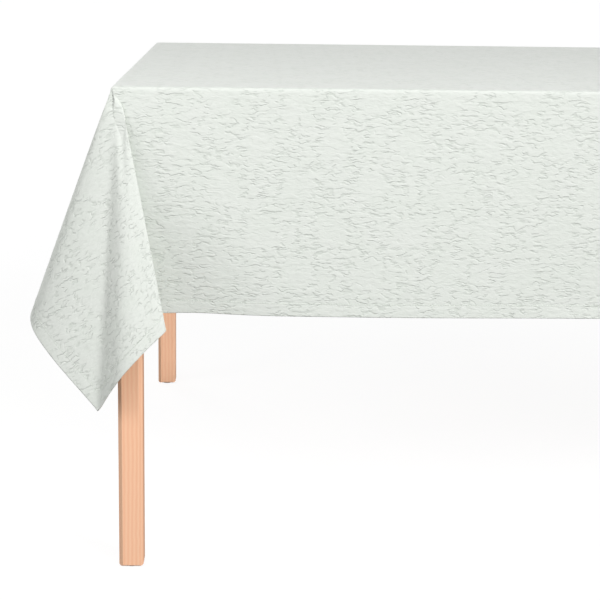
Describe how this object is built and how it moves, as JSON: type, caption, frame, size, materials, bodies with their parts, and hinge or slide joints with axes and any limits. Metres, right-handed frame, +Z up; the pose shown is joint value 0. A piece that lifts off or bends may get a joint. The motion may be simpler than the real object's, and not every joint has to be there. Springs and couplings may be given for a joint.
{
  "type": "dining table with draped tablecloth",
  "caption": "Rectangular softwood dining table with square legs and an embossed pale green tablecloth that drapes over its edges and hangs in a folded flap at each corner.",
  "frame": {"origin": "on the floor, under the middle of the tabletop", "axes": "+Z up, X along the table's length, -Y towards the front"},
  "size_m": [2.0906, 0.9728, 0.7597],
  "materials": {
    "wood": "matt lacquer",
    "zinc_steel": "zinc plated",
    "glide_plastic": "moulded",
    "cloth": "embossed weave",
    "thread": "spun thread",
    "label": "woven ribbon, blank"
  },
  "bodies": {
    "table": {"tabletop": "wood", "leg_front_left": "wood", "leg_front_right": "wood", "leg_back_left": "wood", "leg_back_right": "wood", "apron_front": "wood", "apron_back": "wood", "apron_left": "wood", "apron_right": "wood", "cross_rail": "wood", "corner_block_front_left": "wood", "corner_block_front_right": "wood", "corner_block_back_left": "wood", "corner_block_back_right": "wood", "hanger_bolts": "zinc_steel", "hanger_washers": "zinc_steel", "wing_nuts": "zinc_steel", "corner_block_screws": "zinc_steel", "tabletop_clips": "zinc_steel", "clip_screws": "zinc_steel", "rail_screws": "zinc_steel", "glide_front_left": "glide_plastic", "glide_front_right": "glide_plastic", "glide_back_left": "glide_plastic", "glide_back_right": "glide_plastic"},
    "cloth": {"tablecloth": "cloth", "hem_thread": "thread", "care_label": "label"}
  },
  "joints": [
    {"name": "cloth_lift", "type": "slide", "parent": "table", "child": "cloth", "axis": [0, 0, 1], "range_m": [0, 0.55]}
  ]
}
